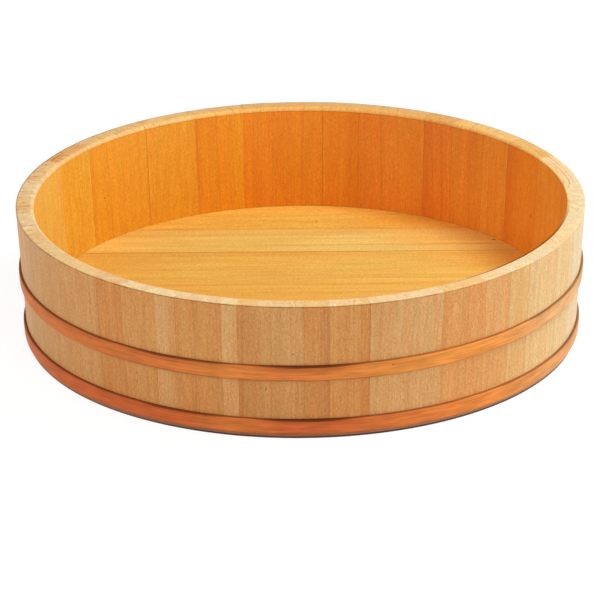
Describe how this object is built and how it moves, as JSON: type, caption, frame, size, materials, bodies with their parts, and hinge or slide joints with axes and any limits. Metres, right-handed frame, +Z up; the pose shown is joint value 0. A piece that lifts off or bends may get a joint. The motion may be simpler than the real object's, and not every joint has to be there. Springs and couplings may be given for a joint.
{
  "type": "sushi rice tub",
  "caption": "Wide shallow round wooden tub of tapered staves with a boarded floor and copper hoops, for dressing and cooling sushi rice.",
  "frame": {"origin": "on the ground under the middle of the tub", "axes": "+Z up out of the tub; the pictured front faces -Y; the boards of the floor run along X"},
  "size_m": [0.66, 0.66, 0.161],
  "materials": {
    "stave_wood": "bare planed straight-grained softwood, oiled look inside",
    "base_wood": "bare planed softwood boards, warm orange",
    "bamboo": "bare split bamboo",
    "copper": "satin copper with fine lengthwise streaks"
  },
  "bodies": {
    "root": {"stave_01": "stave_wood", "stave_02": "stave_wood", "stave_03": "stave_wood", "stave_04": "stave_wood", "stave_05": "stave_wood", "stave_06": "stave_wood", "stave_07": "stave_wood", "stave_08": "stave_wood", "stave_09": "stave_wood", "stave_10": "stave_wood", "stave_11": "stave_wood", "stave_12": "stave_wood", "stave_13": "stave_wood", "stave_14": "stave_wood", "stave_15": "stave_wood", "stave_16": "stave_wood", "stave_17": "stave_wood", "stave_18": "stave_wood", "stave_19": "stave_wood", "stave_20": "stave_wood", "stave_21": "stave_wood", "stave_22": "stave_wood", "stave_23": "stave_wood", "stave_24": "stave_wood", "stave_25": "stave_wood", "stave_26": "stave_wood", "stave_27": "stave_wood", "stave_28": "stave_wood", "stave_29": "stave_wood", "stave_30": "stave_wood", "stave_31": "stave_wood", "stave_32": "stave_wood", "stave_33": "stave_wood", "stave_34": "stave_wood", "stave_35": "stave_wood", "stave_36": "stave_wood", "stave_37": "stave_wood", "stave_38": "stave_wood", "base_board_1": "base_wood", "base_board_2": "base_wood", "base_board_3": "base_wood", "base_board_4": "base_wood", "base_board_5": "base_wood", "base_board_6": "base_wood", "base_board_7": "base_wood", "base_dowel_1_left": "bamboo", "base_dowel_1_right": "bamboo", "base_dowel_2_left": "bamboo", "base_dowel_2_right": "bamboo", "base_dowel_3_left": "bamboo", "base_dowel_3_right": "bamboo", "base_dowel_4_left": "bamboo", "base_dowel_4_right": "bamboo", "base_dowel_5_left": "bamboo", "base_dowel_5_right": "bamboo", "base_dowel_6_left": "bamboo", "base_dowel_6_right": "bamboo", "upper_hoop": "copper", "lower_hoop": "copper"}
  },
  "joints": []
}
